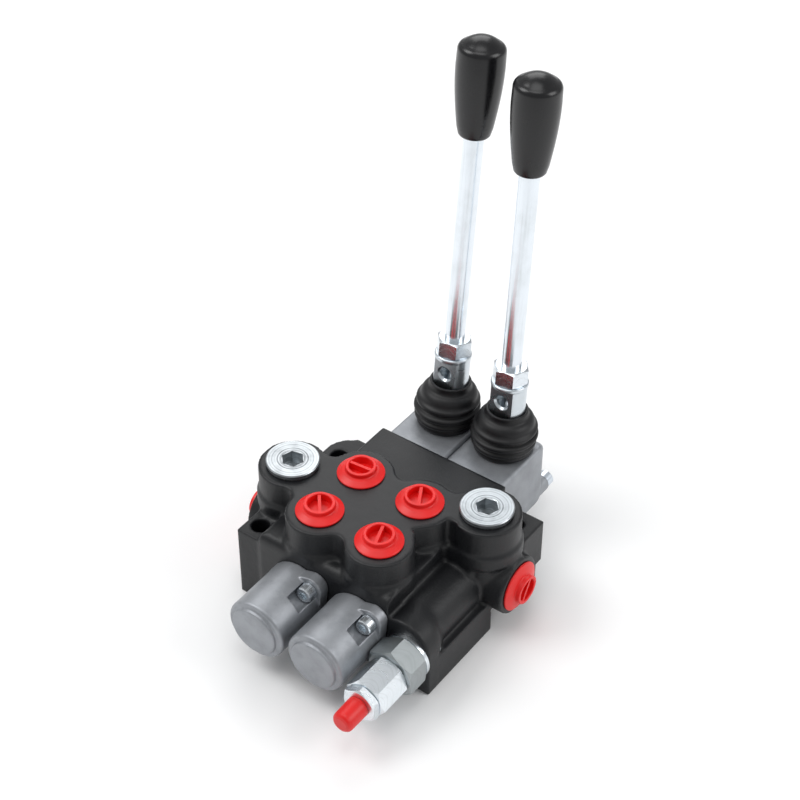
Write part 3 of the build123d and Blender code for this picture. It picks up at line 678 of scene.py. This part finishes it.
# ---- sub-assemblies -------------------------------------------------------------------------------------
@dataclass
class Body:
    """The painted monoblock with its plugs and port caps."""

    voxel: float = 0.95
    passes: int = 3
    ledge: float = 1.2
    ledge_top: float = 50.3
    washer_r: float = 12.8
    flats: list[tuple[Axis, float]] = field(default_factory=list)
    caps: list["PortCap"] = field(default_factory=lambda: [
        PortCap("left_front", "top", (-SPOOL_X, -PORT_Y, TOP), 11.7, 129.5),
        PortCap("right_front", "top", (SPOOL_X, -PORT_Y, TOP), 11.7, 109.0),
        PortCap("left_rear", "top", (-SPOOL_X, PORT_Y, TOP), 11.7, 5.7),
        PortCap("right_rear", "top", (SPOOL_X, PORT_Y, TOP), 11.7, 119.6),
        PortCap("inlet", "right", (66.0, RIGHT_PLUG[1], GALLERY_Z), 12.9, 60.0),
        PortCap("outlet", "left", (-67.0, LEFT_PLUG[1], GALLERY_Z), 12.9, 30.0),
    ])

    def build(self) -> None:
        """Wraps the casting in its painted skin."""
        low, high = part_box("valve_body")
        for axis, corner in ((Axis.OUT, low.y), (Axis.OUT, high.y), (Axis.UP, low.z), (Axis.UP, high.z)):
            self.flats.append((axis, corner / MM))
        for corner in (low.x, high.x):
            self.flats.append((Axis.ACROSS, corner / MM))
        changes = [("DIFFERENCE", self.unwanted()), ("DIFFERENCE", self.notch())]
        changes += [("UNION", shape) for shape in (self.relief_boss(), self.under_boss(), *self.ledges())]
        changes.append(("DIFFERENCE", self.bores()))
        skin = CastSkin("valve_body", "body_casting", self.voxel, self.passes, changes)
        piece = skin.build(CastingPaint().material(self.flats))

    def unwanted(self) -> Shape:
        """The straight block over the relief valve's passage, in front of the inlet."""
        outline = [(34.5, 20.0), (58.0, 20.0), (58.0, -1.0), (72.0, -1.0), (72.0, 66.0), (34.5, 66.0)]
        place = facing("front", 0, 12.6, 0)
        return Shape().prism(outline, 0, 50, place)

    def notch(self) -> Shape:
        """The deep web between the rear port's boss and the inlet's plug boss."""
        rear = self.round_part((SPOOL_X, PORT_Y), 16.7, -48, -5)
        plug = self.round_part(RIGHT_PLUG, 17.1, -112, -85)
        outline = [(24.5, -1.0), *rear, (35.8, 15.4), (39.8, 15.4), *plug]
        outline += [(60, 13), (60, -34), (36, -34), (35.6, -1)]
        return Shape().prism(outline, 49.5, 67, Matrix.Identity(4))

    @staticmethod
    def round_part(
        centre: tuple[float, float], radius: float, start: float, end: float
    ) -> list[tuple[float, float]]:
        """Points on a circle between two angles in degrees."""
        angles = [math.radians(start + (end - start) * i / 8) for i in range(9)]
        return [(centre[0] + radius * math.cos(a), centre[1] + radius * math.sin(a)) for a in angles]

    def relief_boss(self) -> Shape:
        """The long barrel that widens to the arched seat of the relief valve."""
        stations = (
            (14.0, 39.5, 25.5, 15.0),
            (-15.0, 39.5, 25.5, 15.0),
            (-17.5, 39.9, 25.4, 15.1),
            (-20.0, 41.2, 25.2, 15.2),
            (-22.5, 42.4, 25.0, 15.3),
            (-25.0, 42.8, 24.9, 15.3),
            (FRONT, 42.8, 24.9, 15.3),
        )
        turn = [FULL_TURN * i / 96 for i in range(96)]
        rings = []
        for y, x, z, radius in stations:
            rings.append([Vector((x + radius * math.cos(a), y, z + radius * math.sin(a))) for a in turn])
        return Shape().loft(rings)

    def under_boss(self) -> Shape:
        """The straight iron under the arched seat."""
        return Shape().block((34.0, 58.1), (FRONT, -25.0), (0.0, 24.9))

    def ledges(self) -> list[Shape]:
        """The small ledge round the foot of each boss."""
        feet = [(x, y, 16.6) for x in (-SPOOL_X, SPOOL_X) for y in (-PORT_Y, PORT_Y)]
        feet += [(*LEFT_PLUG, 17.0), (*RIGHT_PLUG, 17.0)]
        ledges = []
        for x, y, radius in feet:
            wide, top = radius + self.ledge, self.ledge_top
            outline = [(0, top - 8), (wide, top - 8), (wide, top - 0.6), (wide - 0.6, top), (0, top)]
            ledges.append(Shape().turn(outline, facing("top", x, y, 0), front=FRONT))
        return ledges

    def bores(self) -> Shape:
        """The passages that the joined iron would close."""
        shape = Shape()
        relief_x, relief_z = RELIEF_AXIS
        shape.turn(rod(8.6, -62, 34), facing("front", SPOOL_X, 0, GALLERY_Z))
        shape.turn(rod(10.3, -12.6, 1), facing("front", relief_x, FRONT, relief_z))
        shape.turn(rod(6.2, -23, -12.5), facing("front", relief_x, FRONT, relief_z))
        shape.turn(rod(8.7, 37.6, 60), facing("top", *RIGHT_PLUG, 0))
        return shape

    def dress(self) -> None:
        """Makes the plugs, washers and port caps."""
        red = RED_PLASTIC.material()
        for cap in self.caps:
            cap.build(red)
        washers = Shape()
        for side in SIDES:
            centre = middle(f"plug_{side}") / MM
            self.plug(side, centre)
            ring = [(10.4, 0.0), (self.washer_r, 0.0), (self.washer_r, 0.8), (10.4, 0.8)]
            washers.turn(ring, facing("top", centre.x, centre.y, TOP))
        dark = Zinc("washer_zinc", (0.16, 0.165, 0.17), (0.10, 0.10, 0.11), 0.4)
        piece = washers.thing("sealing_washers")
        finished(piece, dark.material(Axis.UP.value, (0, 0, 0), False), "root", "plug_washers")

    def plug(self, side: str, centre: Vector) -> None:
        """Makes a turned screw plug with a hexagonal socket.

        Args:
            side: which plug.
            centre: a point on its axis, in millimetres.
        """
        zinc = Zinc(f"turned_zinc_{side}", (0.50, 0.53, 0.55), (0.12, 0.13, 0.14), 0.24, 0.75, 0.06, 0.7)
        outline = [(0, -8), (10.2, -8), (10.2, 0.8), (13.1, 0.8), (13.2, 2.6), (12.7, 3.1)]
        outline += [(5.9, 3.1), (5.6, 2.9), (0, 2.9)]
        place = facing("top", centre.x, centre.y, TOP)
        piece = Shape().turn(outline, place, 128).thing(f"screw_plug_{side}")
        carved(piece, "DIFFERENCE", Shape().prism(hexagon(10, 12), -4.0, 5, place))
        finished(piece, zinc.material(Axis.UP.value, centre, True), "root", f"plug_{side}")


@dataclass(frozen=True)
class PortCap:
    """A moulded shipping cap: a conical flange, a hollow ring with a grip bar, and a skirt in the port.

    Attributes:
        port: the port's name.
        direction: the way the port faces.
        seat: the middle of the port's face, in millimetres.
        flange_r: the flange's radius.
        turn: the grip bar's angle, in degrees.
    """

    port: str
    direction: str
    seat: tuple[float, float, float]
    flange_r: float
    turn: float

    def build(self, material: bpy.types.Material) -> None:
        """Moulds the cap."""
        r, ring = self.flange_r, 7.6
        skirt = [(0, 1.3), (0, -0.4), (6.6, -0.4), (6.6, -8.5), (7.9, -8.5), (7.9, 0)]
        flange = [(r - 0.3, 0), (r, 0.3), (r, 0.9), (r - 0.4, 1.2), (ring + 1.3, 2.6), (ring + 0.3, 2.9)]
        outline = [*skirt, *flange, (ring, 3.2), (ring, 5.0), (ring - 0.15, 5.3), (ring - 0.4, 5.4)]
        outline += [(ring - 1.4, 5.4), (ring - 1.7, 5.1), (ring - 1.8, 1.3)]
        place = facing(self.direction, *self.seat)
        piece = Shape().turn(outline, place).thing(f"shipping_cap_{self.port}")
        half, thick = ring - 1.2, 0.75
        bar = [(-half, -thick), (half, -thick), (half, thick), (-half, thick)]
        turned = place @ Matrix.Rotation(math.radians(self.turn), 4, "Z")
        carved(piece, "UNION", Shape().prism(bar, 1.0, 4.9, turned))
        finished(piece, material, "root", f"port_cap_{self.port}")


@dataclass
class SpringCaps:
    """The two cast caps over the centring springs, with their screws."""

    flange_r: float = 16.2
    flange_t: float = 6.5
    ear_r: float = 6.5
    reach: float = 15.27
    voxel: float = 0.42
    passes: int = 3

    def build(self) -> None:
        """Wraps both caps in a cast skin."""
        cast = DieCasting().material()
        for side in SIDES:
            changes = [("UNION", self.ears(side))]
            skin = CastSkin(f"spring_cap_{side}", f"cast_cap_{side}", self.voxel, self.passes, changes)
            skin.build(cast)

    def ears(self, side: str) -> Shape:
        """The flange of a cap, drawn out to a round ear at both screws."""
        axis = middle(f"spring_cap_{side}") / MM
        place = facing("front", axis.x, FRONT, axis.z)
        contact = math.acos((self.flange_r - self.ear_r) / self.reach)
        outline = []
        for turn in (math.radians(45), math.radians(225)):
            outline += self.arc(0.0, turn, self.flange_r, turn - math.pi + contact, turn - contact)[-6:]
            outline += self.arc(self.reach, turn, self.ear_r, turn - contact, turn + contact)
        flange = Shape()
        flange.prism(outline, 0.0, self.flange_t - 0.6, place)
        return flange

    @staticmethod
    def arc(out: float, turn: float, radius: float, start: float, end: float) -> list[tuple[float, float]]:
        """Points on a circle that lies some way out along a direction, between two angles."""
        x, y = out * math.cos(turn), out * math.sin(turn)
        angles = [start + (end - start) * i / 12 for i in range(13)]
        return [(x + radius * math.cos(a), y + radius * math.sin(a)) for a in angles]

    def dress(self) -> None:
        """Finishes the screws and what is inside."""
        bright = Zinc("screw_zinc", (0.86, 0.91, 0.95), roughness=0.18)
        paint("spring_cap_screws", bright.material(Axis.OUT.value, (0, 0, 0), False))
        ground = GROUND_STEEL.material(Axis.OUT.value, (0, 0, 0), False)
        spring = SPRING_STEEL.material(Axis.OUT.value, (0, 0, 0), False)
        rubber = Rubber("seal_rubber_skin").material()
        paint("spool_seals", rubber)
        for side in SIDES:
            paint(f"spool_{side}", ground)
            paint(f"shoulder_bolt_{side}", ground)
            paint(f"spring_seats_{side}", ground)
            paint(f"centring_spring_{side}", spring)


@dataclass
class Levers:
    """The two hand levers with their housings and boots."""

    knob_len: float = 49.5
    knob_foot: Mapping[str, float] = field(default_factory=lambda: {"left": 170.0, "right": 166.2})
    voxel: float = 0.45
    passes: int = 3

    def build(self) -> None:
        """Wraps the housings and turns the boots."""
        cast = DieCasting("blasted_housing").material()
        rubber = Rubber().material()
        for side in SIDES:
            housing = CastSkin(f"lever_housing_{side}", f"cast_housing_{side}", self.voxel, self.passes)
            housing.build(cast)
            Bellows(side).build(rubber)

    def dress(self) -> None:
        """Finishes the metal and the knobs."""
        screws = Zinc("housing_screw_zinc", (0.72, 0.78, 0.85), roughness=0.22)
        paint("lever_housing_screws", screws.material(Axis.OUT.value, (0, 0, 0), False))
        knob = KNOB_PLASTIC.material()
        for side in SIDES:
            hub = middle(f"lever_nut_{side}")
            up = (middle(f"lever_rod_{side}") - hub).normalized()
            bar = Zinc(f"rod_zinc_{side}", (0.80, 0.85, 0.90), roughness=0.14, marks=1.1)
            paint(f"lever_rod_{side}", bar.material(up, hub / MM, False))
            nut = Zinc(f"nut_zinc_{side}", roughness=0.16)
            paint(f"lever_nut_{side}", nut.material(up, hub / MM, True))
            turned = Zinc(f"hub_zinc_{side}", (0.62, 0.67, 0.71), roughness=0.2, depth=0.008)
            paint(f"lever_hub_{side}", turned.material(up, hub / MM, True))
            paint(f"pivot_pin_{side}", GROUND_STEEL.material(Axis.ACROSS.value, (0, 0, 0), False))
            self.knob(side, up, knob)

    def knob(self, side: str, up: Vector, material: bpy.types.Material) -> None:
        """Moulds a handle that swells from its foot to a rounded rim and a shallow dome.

        Args:
            side: which lever.
            up: the way the lever points.
            material: the plastic.
        """
        pin = middle(f"pivot_pin_{side}") / MM
        across = Vector((1, 0, 0))
        axes = Matrix((across, up.cross(across), up)).transposed().to_4x4()
        place = Matrix.Translation((middle(f"knob_{side}").x / MM, pin.y, pin.z)) @ axes
        place @= Matrix.Translation((0, 0, self.knob_foot[side]))
        outline = [(5.05, 0), (6.4, 0), (7.2, 0.3), (7.75, 1.0), (7.95, 1.9)]
        for i in range(1, 17):
            h = 1.9 + i * 2.55
            swell = 3.5 * math.sin(min(1.0, h / 36) * math.pi / 2)
            outline.append((7.95 + swell - 0.03 * max(0.0, h - 36), h))
        shoulder, crown = outline[-1], self.knob_len
        rim = [math.radians(10 * i) for i in range(1, 8)]
        outline += [(shoulder[0] - 3.4 + 3.4 * math.cos(a), shoulder[1] + 3.4 * math.sin(a)) for a in rim]
        r, h = outline[-1]
        outline += [(r * (1 - t / 12), h + (crown - h) * (1 - (1 - t / 12) ** 2)) for t in range(1, 12)]
        outline += [(0, crown), (0, 30), (5.05, 30)]
        piece = Shape().turn(outline, place).thing(f"hand_knob_{side}")
        piece.data.shade_smooth()
        finished(piece, material, f"lever_{side}", f"knob_{side}")


@dataclass
class Bellows:
    """A moulded rubber boot: a tucked-in collar on the housing, rounded folds, a dome and a neck on the hub.

    Attributes:
        side: which lever it belongs to.
        wall: thickness of the rubber, in millimetres.
        collar: radius and height of the collar, in millimetres.
        folds: radius and height of each fold above the housing.
        round_r: radius of a fold's rounded edge.
        dome: radius and height where the dome over the folds starts, and the same where it ends.
        neck_r: radius of the neck.
        segments: steps round the axis.
    """

    side: str
    wall: float = 1.5
    collar: tuple[float, float] = (15.4, 2.6)
    folds: tuple[tuple[float, float], ...] = ((16.5, 5.0), (17.1, 9.0), (16.4, 13.0))
    round_r: float = 1.35
    dome: tuple[float, float, float, float] = (14.6, 15.2, 10.9, 19.6)
    neck_r: float = 10.7
    segments: int = 96

    def profile(self, top: float) -> list[tuple[float, float]]:
        """The outline of the rubber's outside from the collar to the neck.

        Args:
            top: height of the neck's upper edge.

        Returns:
            Radius and height of each point, in millimetres.
        """
        collar_r, collar_h = self.collar
        points = [(collar_r, 0.0), (collar_r, collar_h)]
        for radius, height in self.folds:
            points.append((radius - 2.3, height - 2.0))
            points += self.arc((radius - self.round_r, height), (self.round_r, self.round_r), -75, 75)
        start_r, start_h, end_r, end_h = self.dome
        points += self.arc((end_r, start_h), (start_r - end_r, end_h - start_h), 0, 80)
        points += [(self.neck_r, end_h + 0.8), (self.neck_r, top - 0.6)]
        points += self.arc((self.neck_r - 0.6, top - 0.6), (0.6, 0.6), 0, 90)
        return points

    @staticmethod
    def arc(
        centre: tuple[float, float], radii: tuple[float, float], start: float, end: float
    ) -> list[tuple[float, float]]:
        """Points on an upright ellipse about a centre, from one angle to another in degrees."""
        steps = 6
        angles = [math.radians(start + (end - start) * i / steps) for i in range(steps + 1)]
        return [(centre[0] + radii[0] * math.cos(a), centre[1] + radii[1] * math.sin(a)) for a in angles]

    def build(self, material: bpy.types.Material) -> bpy.types.Object:
        """Turns the boot about an axis that bends from the housing's to the lever's.

        Args:
            material: the rubber.

        Returns:
            The piece, bending between the housing and the lever.
        """
        node = f"boot_{self.side}"
        low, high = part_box(node)
        pin = middle(f"pivot_pin_{self.side}")
        pivot = Vector((middle(node).x, pin.y, pin.z))
        up = (middle(f"lever_rod_{self.side}") - middle(f"lever_nut_{self.side}")).normalized()
        base = Vector((pivot.x, pivot.y, low.z))
        outer = self.profile((high.z - low.z) / MM - 0.9)
        inner = [(r - self.wall, max(h - self.wall * (h > self.dome[1]), 0.0)) for r, h in reversed(outer)]
        inner[0] = (self.neck_r - self.wall, outer[-1][1])
        lean = math.atan2(up.y, up.z)
        start, end = self.collar[1], self.dome[3]
        surface = bmesh.new()
        rings = []
        for r, h in outer + inner:
            share = min(1.0, max(0.0, (h - start) / (end - start)))
            share = share * share * (3 - 2 * share)
            tilt = Matrix.Rotation(-lean * share, 4, "X")
            spine = pivot + up * ((h * MM + base.z - pivot.z) / up.z)
            centre = Vector((base.x, base.y, base.z + h * MM)).lerp(spine, share)
            rings.append(self.ring(surface, centre, tilt, r * MM))
        for near, far in zip(rings, rings[1:] + rings[:1]):
            for i in range(self.segments):
                j = (i + 1) % self.segments
                surface.faces.new((near[i], near[j], far[j], far[i]))
        bmesh.ops.recalc_face_normals(surface, faces=surface.faces)
        mesh = bpy.data.meshes.new(f"bellows_{self.side}")
        surface.to_mesh(mesh)
        surface.free()
        piece = placed(f"bellows_{self.side}", mesh, material)
        finer = piece.modifiers.new("finer", "SUBSURF")
        finer.levels = finer.render_levels = 1
        baked(piece)
        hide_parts(node)
        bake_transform(piece)
        return piece

    def ring(self, surface: bmesh.types.BMesh, centre: Vector, tilt: Matrix, radius: float) -> list[Any]:
        """Adds one ring of points about a centre and gives its points."""
        turn = FULL_TURN / self.segments
        points = (Vector((math.cos(i * turn), math.sin(i * turn), 0)) for i in range(self.segments))
        return [surface.verts.new(centre + tilt @ point * radius) for point in points]


@dataclass
class ReliefValve:
    """The relief valve's hexagons, its adjusting screw and its cap."""

    sleeve_end: float = 34.0
    sleeve_af: float = 19.2
    sleeve_turn: float = 48.5
    nut_end: float = 38.5
    nut_af: float = 17.0
    cap_r: float = 5.6
    cap_end: float = 52.0

    def dress(self) -> None:
        """Finishes every piece of the relief valve and the load check."""
        centre = middle("relief_cap") / MM
        out = Axis.OUT.value
        dull = Zinc("dull_zinc_hex", (0.42, 0.45, 0.46), (0.33, 0.36, 0.36), 0.36, 1.2, 0.03)
        bright = Zinc("bright_zinc_hex", (0.84, 0.89, 0.93), roughness=0.2, marks=1.3)
        paint("relief_body", dull.material(out, centre, True))
        sleeve = bright.material(out, centre, True)
        paint("relief_washer", sleeve)
        self.build_stack(sleeve)
        steel = GROUND_STEEL.material(out, centre, True)
        for node in ("relief_seat", "relief_poppet", "relief_guide", "relief_adjuster", "check_poppet"):
            paint(node, steel)
        spring = SPRING_STEEL.material(out, centre, False)
        for node in ("relief_spring", "check_spring"):
            paint(node, spring)

    def build_stack(self, zinc: bpy.types.Material) -> None:
        """Makes the sleeve, the lock nut and the plastic cap.

        Args:
            zinc: the plate on both hexagons.
        """
        axis = middle("relief_cap") / MM
        place = facing("front", axis.x, FRONT, axis.z)
        span = (15.0, self.sleeve_end)
        sleeve = self.nut("bright_sleeve", span, self.sleeve_af, self.sleeve_turn, place)
        step = self.sleeve_end - 8
        bore = [(0, 14), (5.4, 14), (5.4, step), (4.1, step), (4.1, 40), (0, 40)]
        carved(sleeve, "DIFFERENCE", Shape().turn(bore, place))
        finished(sleeve, zinc, "root", "relief_sleeve")
        nut = self.nut("thin_lock_nut", (self.sleeve_end, self.nut_end), self.nut_af, 30.0, place)
        carved(nut, "DIFFERENCE", Shape().turn(rod(4.1, 30, 45), place))
        finished(nut, zinc, "root", "relief_lock_nut")
        r, end = self.cap_r, self.cap_end
        outline = [(4.3, self.nut_end), (r - 0.2, self.nut_end), (r, self.nut_end + 0.3)]
        outline += [(r - 0.15, end - 2.4), (r - 0.4, end - 1.3), (r - 1.2, end - 0.4), (r - 2.4, end)]
        outline += [(0, end), (0, end - 1.4), (4.2, end - 1.6)]
        cap = Shape().turn(outline, place).thing("screw_cap")
        fresh, faded = (0.74, 0.006, 0.005), (0.60, 0.010, 0.008)
        red = Moulding("red_screw_cap", fresh, faded, 0.32, 0.35, 0.05, 0.0, 0.05)
        finished(cap, red.material(), "root", "relief_cap")

    @staticmethod
    def nut(
        name: str, span: tuple[float, float], flats: float, turn: float, place: Matrix
    ) -> bpy.types.Object:
        """A hexagonal bar with its corners turned off at both ends.

        Args:
            name: the piece's name.
            span: heights of its ends.
            flats: millimetres across its flats.
            turn: the angle of its first corner, in degrees.
            place: its frame.

        Returns:
            The piece.
        """
        low, high = span
        wide = flats / math.sqrt(3) + 0.1
        flat = flats / 2 - 0.3
        drop = (wide - flat) * math.tan(math.radians(30))
        piece = Shape().prism(hexagon(flats, turn), low, high, place).thing(name)
        turned = [(0, low - 0.01), (flat, low - 0.01), (wide, low + drop)]
        turned += [(wide, high - drop), (flat, high + 0.01), (0, high + 0.01)]
        return carved(piece, "INTERSECT", Shape().turn(turned, place))


# ---- studio ----------------------------------------------------------------------------------------------
@dataclass(frozen=True)
class Softbox:
    """A square lamp that faces the object.

    Attributes:
        name: the lamp's name.
        azimuth: where it stands, in degrees from -Y towards +X.
        elevation: its height above the horizon, in degrees.
        distance: metres from the object.
        width: its side, in metres.
        power: watts.
        tint: its colour.
    """

    name: str
    azimuth: float
    elevation: float
    distance: float
    width: float
    power: float
    tint: Colour = (1.0, 1.0, 1.0)

    def hang(self, target: Vector) -> None:
        """Puts the lamp up, facing the target."""
        lamp = bpy.data.lights.new(self.name, "AREA")
        lamp.size = self.width
        lamp.energy = self.power
        lamp.color = self.tint
        box = bpy.data.objects.new(self.name, lamp)
        away = bearing(self.azimuth, self.elevation)
        box.location = target + away * self.distance
        box.rotation_mode = "QUATERNION"
        box.rotation_quaternion = (-away).to_track_quat("-Z", "Y")
        bpy.context.scene.collection.objects.link(box)


def bearing(azimuth: float, elevation: float) -> Vector:
    """The direction to a point at an azimuth from -Y towards +X and an elevation, in degrees."""
    a, e = math.radians(azimuth), math.radians(elevation)
    return Vector((math.sin(a) * math.cos(e), -math.cos(a) * math.cos(e), math.sin(e)))


@dataclass
class Studio:
    """A pale floor, soft lamps and the camera."""

    aim: tuple[float, float, float] = (5.4, 16.5, 122.8)
    azimuth: float = 35.95
    elevation: float = 40.47
    distance: float = 870.0
    roll: float = 0.18
    lens: float = 85.5
    floor_half: float = 6.0
    floor_tone: Colour = (0.96, 0.96, 0.96)
    haze: float = 0.46
    lamps: tuple[Softbox, ...] = (
        Softbox("key", -62, 50, 1.5, 0.8, 9.5),
        Softbox("right", 112, 30, 1.5, 0.8, 7.0),
        Softbox("top", 20, 84, 1.6, 0.9, 5.0),
        Softbox("back", 214, 38, 1.7, 1.1, 8.0),
    )

    def build(self) -> None:
        """Lays the floor, hangs the lamps and sets the camera."""
        self.floor()
        self.world()
        for lamp in self.lamps:
            lamp.hang(Vector(self.aim) * MM)
        self.camera()

    def floor(self) -> None:
        """A wide pale floor under the valve."""
        half = self.floor_half
        mesh = bpy.data.meshes.new("floor")
        corners = [(-half, -half), (half, -half), (half, half), (-half, half)]
        mesh.from_pydata([(x, y, CAD_BOX[0].z) for x, y in corners], [], [(0, 1, 2, 3)])
        s = Shading("floor_paper")
        paper = s.noise(0.01, 2.0)
        tone = s.mix(paper * 0.3, self.floor_tone, tuple(0.97 * c for c in self.floor_tone))
        placed("floor", mesh, s.finish(base_color=tone, roughness=0.9))

    def world(self) -> None:
        """Dim light from all round, for the lamps to stand out in reflections."""
        world = bpy.data.worlds.new("studio")
        world.use_nodes = True
        world.node_tree.nodes["Background"].inputs["Color"].default_value = (0.98, 0.99, 1.0, 1.0)
        world.node_tree.nodes["Background"].inputs["Strength"].default_value = self.haze
        bpy.context.scene.world = world
        bpy.context.scene.view_settings.view_transform = "Standard"

    def camera(self) -> None:
        """The camera at the product view's angle."""
        lens = bpy.data.cameras.new("camera")
        lens.lens = self.lens
        lens.sensor_width = 36.0
        camera = bpy.data.objects.new("camera", lens)
        away = bearing(self.azimuth, self.elevation)
        camera.location = (Vector(self.aim) + away * self.distance) * MM
        camera.rotation_mode = "QUATERNION"
        level = (-away).to_track_quat("-Z", "Y").to_matrix().to_4x4()
        rolled = level @ Matrix.Rotation(math.radians(self.roll), 4, "Z")
        camera.rotation_quaternion = rolled.to_quaternion()
        bpy.context.scene.collection.objects.link(camera)
        bpy.context.scene.camera = camera


def main() -> None:
    """Builds the studio and dresses the valve, piece by piece."""
    logging.basicConfig(level=logging.INFO, format="%(message)s")
    for part in (Studio(), Body(), SpringCaps(), Levers(), ReliefValve()):
        for step in ("build", "dress"):
            if hasattr(part, step):
                getattr(part, step)()
                log.info("%s: %s done", type(part).__name__, step)


if __name__ == "__main__":
    main()
